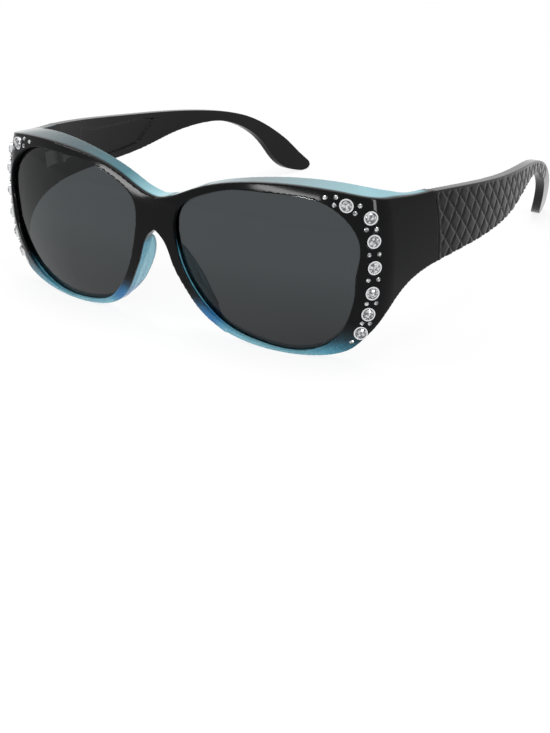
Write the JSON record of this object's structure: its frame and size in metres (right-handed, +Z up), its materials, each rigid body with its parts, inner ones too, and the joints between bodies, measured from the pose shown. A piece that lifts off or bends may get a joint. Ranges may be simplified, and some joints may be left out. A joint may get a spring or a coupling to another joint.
{
  "type": "fitover sunglasses",
  "caption": "Wrap-round fitover sunglasses with tinted lenses in a deep front, round stones down the outer rims, and quilted temples that fold on metal hinges.",
  "frame": {"origin": "centre of the bounding box in plan, on the surface on which the pair stands", "axes": "+X towards the wearer's left, the front faces -Y, the temples run to +Y, +Z is up"},
  "size_m": [0.1534, 0.1652, 0.0519],
  "materials": {
    "frame_plastic": "polished, fading to clear blue towards the nose",
    "temple_plastic": "polished",
    "lens": "polished, dark grey tint",
    "setting": "bright",
    "stone": "faceted, clear",
    "hinge_metal": "satin"
  },
  "bodies": {
    "front": {"front_frame": "frame_plastic", "lens_left": "lens", "hinge_front_leaf_left": "hinge_metal", "hinge_screw_left": "hinge_metal", "small_stones_left": "stone", "stone_cup_left_1": "setting", "stone_left_1": "stone", "stone_cup_left_2": "setting", "stone_left_2": "stone", "stone_cup_left_3": "setting", "stone_left_3": "stone", "stone_cup_left_4": "setting", "stone_left_4": "stone", "stone_cup_left_5": "setting", "stone_left_5": "stone", "stone_cup_left_6": "setting", "stone_left_6": "stone", "stone_cup_left_7": "setting", "stone_left_7": "stone", "lens_right": "lens", "hinge_front_leaf_right": "hinge_metal", "hinge_screw_right": "hinge_metal", "small_stones_right": "stone", "stone_cup_right_1": "setting", "stone_right_1": "stone", "stone_cup_right_2": "setting", "stone_right_2": "stone", "stone_cup_right_3": "setting", "stone_right_3": "stone", "stone_cup_right_4": "setting", "stone_right_4": "stone", "stone_cup_right_5": "setting", "stone_right_5": "stone", "stone_cup_right_6": "setting", "stone_right_6": "stone", "stone_cup_right_7": "setting", "stone_right_7": "stone"},
    "left_temple": {"temple_left": "temple_plastic", "hinge_temple_leaf_left": "hinge_metal"},
    "right_temple": {"temple_right": "temple_plastic", "hinge_temple_leaf_right": "hinge_metal"}
  },
  "joints": [
    {"name": "left_temple_fold", "type": "hinge", "parent": "front", "child": "left_temple", "pos_m": [0.06931, -0.04535, 0.03591], "axis": [0, 0.024, 0.9997], "range_deg": [0, 84]},
    {"name": "right_temple_fold", "type": "hinge", "parent": "front", "child": "right_temple", "pos_m": [-0.06931, -0.04535, 0.03591], "axis": [0, -0.024, -0.9997], "range_deg": [0, 74]}
  ]
}
